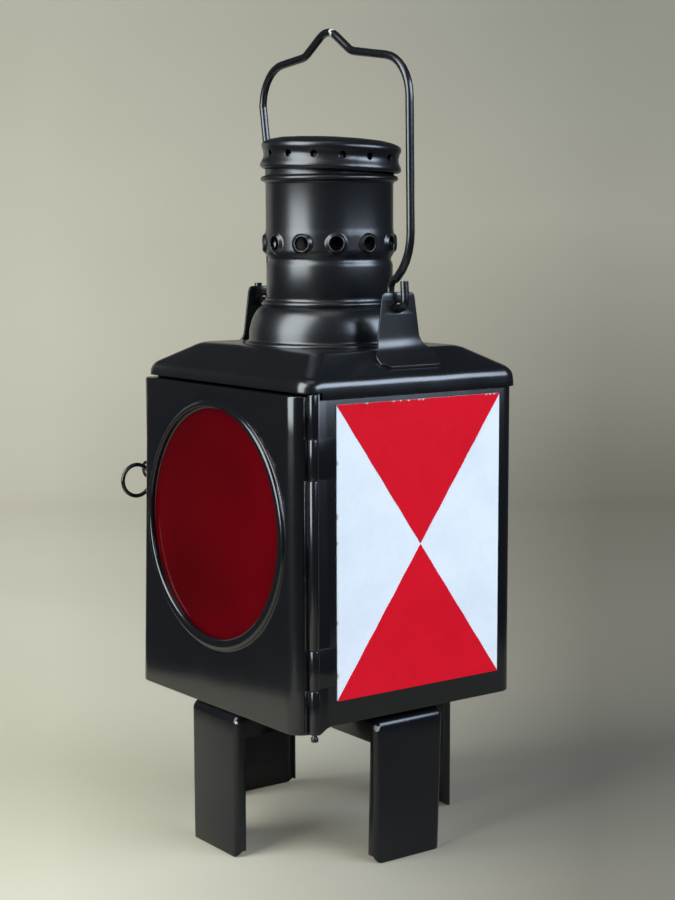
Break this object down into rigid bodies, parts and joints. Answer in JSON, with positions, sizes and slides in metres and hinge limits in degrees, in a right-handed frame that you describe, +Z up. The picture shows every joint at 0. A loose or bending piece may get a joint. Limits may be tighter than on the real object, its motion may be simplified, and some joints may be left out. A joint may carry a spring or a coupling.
{
  "type": "railway tail lamp",
  "caption": "Square sheet steel signal lamp on channel feet, with a hinged door holding a round red lens, a red and white side panel, a vented chimney, a wire bail and an oil burner.",
  "frame": {"origin": "on the floor under the axis of the chimney", "axes": "+Z up; the door with the lens faces -Y; the red and white panel is on the +X side"},
  "size_m": [0.223, 0.2055, 0.5798],
  "materials": {
    "black_paint": "satin gloss black paint on sheet steel",
    "steel": "worn steel",
    "red_glass": "deep red lens glass",
    "felt": "dark felt",
    "white_enamel": "glossy white enamel",
    "red_enamel": "glossy red enamel",
    "tinplate": "dull tinplate",
    "silvered": "silvered dish",
    "brass": "aged brass",
    "cotton": "woven cotton wick"
  },
  "bodies": {
    "lamp": {"case_shell": "black_paint", "floor_pan": "black_paint", "roof_hood": "black_paint", "foot_front": "black_paint", "foot_right": "black_paint", "foot_back": "black_paint", "foot_left": "black_paint", "foot_rivets": "black_paint", "chimney_flare": "black_paint", "chimney_tube": "black_paint", "chimney_cap": "black_paint", "draught_tube": "tinplate", "ear_right": "black_paint", "ear_left": "black_paint", "ear_rivets": "black_paint", "hinge_strap_lower": "black_paint", "hinge_strap_upper": "black_paint", "hinge_pin": "black_paint", "latch_bracket": "black_paint", "latch_pin": "steel", "panel_plate": "white_enamel", "panel_red_fields": "red_enamel", "tank_rails": "black_paint", "oil_reservoir": "tinplate", "filler_neck": "tinplate", "burner_collar": "brass", "burner_body": "brass", "burner_dome": "brass", "wick_tube": "brass", "reflector": "silvered", "reflector_bracket": "tinplate"},
    "door": {"door_pan": "black_paint", "lens_gasket": "felt", "lens_glass": "red_glass", "lens_retainer": "black_paint", "retainer_studs": "steel", "retainer_nuts": "steel", "hinge_door_leaf": "black_paint", "latch_keeper": "steel"},
    "bail": {"bail": "black_paint"},
    "hasp": {"latch_hasp": "black_paint"},
    "ring": {"pull_ring": "black_paint"},
    "knob": {"wick_shaft": "brass", "wick_wheels": "brass", "wick_knob": "brass"},
    "wick": {"wick": "cotton"},
    "filler_cap": {"filler_cap": "brass"}
  },
  "joints": [
    {"name": "door_hinge", "type": "hinge", "parent": "lamp", "child": "door", "pos_m": [0.1038, -0.0883, 0.218], "axis": [0, 0, 1], "range_deg": [0, 175]},
    {"name": "bail_swing", "type": "hinge", "parent": "lamp", "child": "bail", "pos_m": [0, -0.002, 0.3855], "axis": [1, 0, 0], "range_deg": [-104, 104]},
    {"name": "hasp_turn", "type": "hinge", "parent": "lamp", "child": "hasp", "pos_m": [-0.1055, -0.043, 0.2607], "axis": [0, 0, -1], "range_deg": [0, 100]},
    {"name": "ring_swing", "type": "hinge", "parent": "hasp", "child": "ring", "pos_m": [-0.1095, -0.091, 0.2607], "axis": [1, 0, 0], "range_deg": [0, 96]},
    {"name": "wick_knob", "type": "hinge", "parent": "lamp", "child": "knob", "pos_m": [0, 0.0068, 0.199], "axis": [-1, 0, 0], "range_deg": [-38, 76]},
    {"name": "wick_raise", "type": "slide", "parent": "lamp", "child": "wick", "axis": [0, 0, 1], "range_m": [-0.003, 0.006]},
    {"name": "filler_cap_lift", "type": "slide", "parent": "lamp", "child": "filler_cap", "axis": [0, 0, 1], "range_m": [0, 0.012]}
  ],
  "couplings": [
    {"joint": "wick_raise", "follows": "wick_knob", "m_per_rad": 0.0045}
  ]
}
